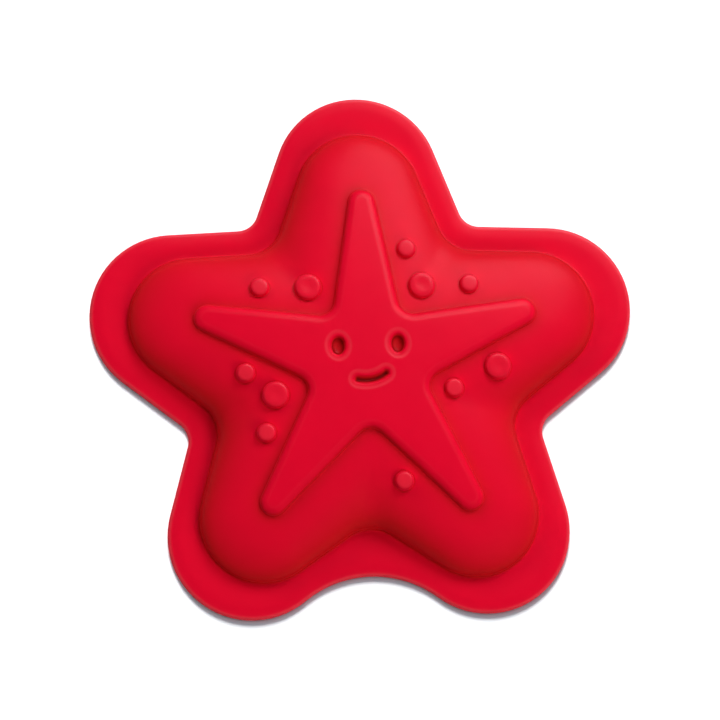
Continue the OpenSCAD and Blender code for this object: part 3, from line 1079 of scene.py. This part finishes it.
def silicone_material():
    material = bpy.data.materials.new("satin_red_silicone")
    material.use_nodes = True
    tree = material.node_tree
    shader = tree.nodes["Principled BSDF"]
    place = tree.nodes.new("ShaderNodeTexCoord")
    painted_light_shade = tree.nodes.new("ShaderNodeAttribute")
    painted_light_shade.attribute_name = "painted_light_and_shade"
    # The base colour carries the painted light and shade stored on the points.
    link(tree, mottled_colour(tree, place, painted_light_shade), "Vector", shader, "Base Color")
    link(tree, uneven_roughness(tree, place, painted_light_shade), "Value", shader, "Roughness")
    coat = ranged(tree, painted_light_shade, "Fac", COAT_TONES, (0.0, COAT))
    link(tree, coat, "Result", shader, "Coat Weight")
    link(tree, fine_grain(tree, place), "Normal", shader, "Normal")
    shader.inputs["Coat Roughness"].default_value = 0.3
    shader.inputs["Coat IOR"].default_value = 1.2
    shader.inputs["IOR"].default_value = 1.41
    shader.inputs["Specular IOR Level"].default_value = SHINE
    return material


silicone = silicone_material()
for node, piece in pieces.items():
    piece.data.materials.append(silicone)
    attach(piece, "root")
    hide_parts(node)
print("material:", silicone.name, "on", len(pieces), "pieces")

# %% [markdown]
# ## The table
#
# The mould lies on a plain white table that fades into the background. A huge plane is
# enough for that. Its material glows faintly, but only for the camera and in reflections, so
# the table looks white there, keeps the mould's shadow and doesn't light the mould itself.

# %% The table
TABLE_HALF = 1.5
TABLE_WHITE = (0.96, 0.96, 0.965, 1)
TABLE_GLOW = 0.03


def table_glow(tree):
    """A faint light that only the camera and reflections see."""
    light_path = tree.nodes.new("ShaderNodeLightPath")
    seen = tree.nodes.new("ShaderNodeMath")
    seen.operation = "MAXIMUM"
    link(tree, light_path, "Is Camera Ray", seen, 0)
    link(tree, light_path, "Is Glossy Ray", seen, 1)
    strength = tree.nodes.new("ShaderNodeMath")
    strength.operation = "MULTIPLY"
    strength.inputs[1].default_value = TABLE_GLOW
    link(tree, seen, 0, strength, 0)
    glow = tree.nodes.new("ShaderNodeEmission")
    link(tree, strength, 0, glow, "Strength")
    return glow


def table_material():
    material = bpy.data.materials.new("white_table")
    material.use_nodes = True
    tree = material.node_tree
    shader = tree.nodes["Principled BSDF"]
    shader.inputs["Base Color"].default_value = TABLE_WHITE
    shader.inputs["Roughness"].default_value = 0.8
    shader.inputs["Specular IOR Level"].default_value = 0.2
    both = tree.nodes.new("ShaderNodeAddShader")
    link(tree, shader, 0, both, 0)
    link(tree, table_glow(tree), 0, both, 1)
    link(tree, both, 0, tree.nodes["Material Output"], "Surface")
    return material


def make_table():
    mesh = bpy.data.meshes.new("table_top")
    corners = [(x * TABLE_HALF, y * TABLE_HALF, 0)
               for x, y in ((-1, -1), (1, -1), (1, 1), (-1, 1))]
    mesh.from_pydata(corners, [], [(0, 1, 2, 3)])
    table = bpy.data.objects.new("table_top", mesh)
    bpy.context.scene.collection.objects.link(table)
    mesh.materials.append(table_material())
    return table


table = make_table()
print("table:", 2 * TABLE_HALF, "m wide")

# %% [markdown]
# ## The lamps
#
# Soft square lamps stand round the mould, as in a small studio. The key lamp is up and to
# the right, so that slopes on that side are bright and the opposite feet fall into shade.
# Lamps on the other sides keep that shade red instead of black, and they are a little warmer
# than the key lamp. A large softbox gives only the shine: it is left out of the plain light,
# as the other lamps are left out of the reflections, so that haze and colour can be set
# apart. Light linking keeps these lamps to the mould, and the table has two lamps of its
# own. The world stays dark.

# %% The lamps
LAMP_DISTANCE = 1.6
WARM, COOL, SKY = (1, 1.1, 0.75), (1, 0.95, 1.15), (0.8, 0.98, 1.1)


def group(name, members):
    """A named set of objects that a lamp is kept to."""
    collection = bpy.data.collections.new(name)
    for member in members:
        collection.objects.link(member)
    return collection


mould_group = group("lit_mould", pieces.values())
table_group = group("lit_table", [table])


def lamp(name, azimuth, elevation, size, power, lights=mould_group, colour=(1, 1, 1),
         shine_only=False):
    """A square soft lamp that looks at the mould; azimuth 0 is towards +X, 90 towards +Y."""
    a, e = radians(azimuth), radians(elevation)
    light = bpy.data.lights.new(name, "AREA")
    light.shape = "SQUARE"
    light.size = size
    light.energy = power
    light.color = colour
    lamp_object = bpy.data.objects.new(name, light)
    place = LAMP_DISTANCE * Vector((cos(a) * cos(e), sin(a) * cos(e), sin(e)))
    lamp_object.location = place
    lamp_object.rotation_mode = "QUATERNION"
    lamp_object.rotation_quaternion = (-place).to_track_quat("-Z", "Y")
    lamp_object.visible_glossy = shine_only
    lamp_object.visible_diffuse = not shine_only
    lamp_object.light_linking.receiver_collection = lights
    bpy.context.scene.collection.objects.link(lamp_object)
    return lamp_object


lamps = [
    lamp("key_lamp", azimuth=52, elevation=49, size=0.7, power=13.8, colour=COOL),
    lamp("low_lamp", azimuth=50, elevation=12, size=0.7, power=6.0, colour=COOL),
    lamp("right_lamp", azimuth=312, elevation=42, size=0.9, power=14.8, colour=WARM),
    lamp("left_lamp", azimuth=135, elevation=34, size=0.9, power=10.8, colour=WARM),
    lamp("top_lamp", azimuth=88, elevation=20, size=0.9, power=2.5, colour=COOL),
    lamp("softbox", azimuth=62, elevation=38, size=1.35, power=200.0, shine_only=True),
    lamp("table_lamp", azimuth=92, elevation=44, size=0.5, power=37.0, lights=table_group),
    lamp("table_fill", azimuth=90, elevation=80, size=1.6, power=9.0, lights=table_group,
         colour=SKY),
]
print(len(lamps), "lamps at", LAMP_DISTANCE, "m")

# %% The world and the colours
world = bpy.data.worlds.new("studio")
world.use_nodes = True
world.node_tree.nodes["Background"].inputs["Color"].default_value = (1, 1, 1, 1)
world.node_tree.nodes["Background"].inputs["Strength"].default_value = 0.0
bpy.context.scene.world = world
bpy.context.scene.view_settings.view_transform = "Standard"
print("view:", bpy.context.scene.view_settings.view_transform)

# %% [markdown]
# ## The camera
#
# The photograph looks almost straight down, leaning ten degrees towards the mould's lower
# side, with a long lens, so the far lobes are hardly smaller than the near ones. The camera
# aims at the middle of the star and is shifted a little, because that middle lies slightly
# below the picture's centre. It could be set by eye, but here its three turns, in radians,
# its distance, in metres, and the pixel of the star's middle were fitted to the outline.

# %% The camera
CAMERA_DISTANCE = 0.7045
CAMERA_PITCH = -0.1673
CAMERA_YAW = 0.0785
CAMERA_ROLL = 0.0229
SENSOR = 36.0
PICTURE = 720
STAR_PIXEL = (363.92, 373.07)
PIXEL_MM = 0.2412


def make_camera():
    data = bpy.data.cameras.new("camera")
    data.sensor_width = SENSOR
    data.lens = CAMERA_DISTANCE / MM / PIXEL_MM / PICTURE * SENSOR
    data.shift_x = (PICTURE / 2 - STAR_PIXEL[0]) / PICTURE
    data.shift_y = (STAR_PIXEL[1] - PICTURE / 2) / PICTURE
    data.clip_start, data.clip_end = 0.01, 20
    camera = bpy.data.objects.new("camera", data)
    turn = (Matrix.Rotation(CAMERA_YAW, 3, "Y") @ Matrix.Rotation(CAMERA_PITCH, 3, "X")
            @ Matrix.Rotation(CAMERA_ROLL, 3, "Z")).transposed()
    middle = Vector((0, -STAR_SHIFT, RIM_T / 2)) * MM
    camera.location = middle + turn @ Vector((0, 0, CAMERA_DISTANCE))
    camera.rotation_mode = "QUATERNION"
    camera.rotation_quaternion = turn.to_quaternion()
    bpy.context.scene.collection.objects.link(camera)
    bpy.context.scene.camera = camera
    return camera


camera = make_camera()
print("camera", [round(v, 3) for v in camera.location], "lens", round(camera.data.lens, 1))

# %% [markdown]
# ## The end
#
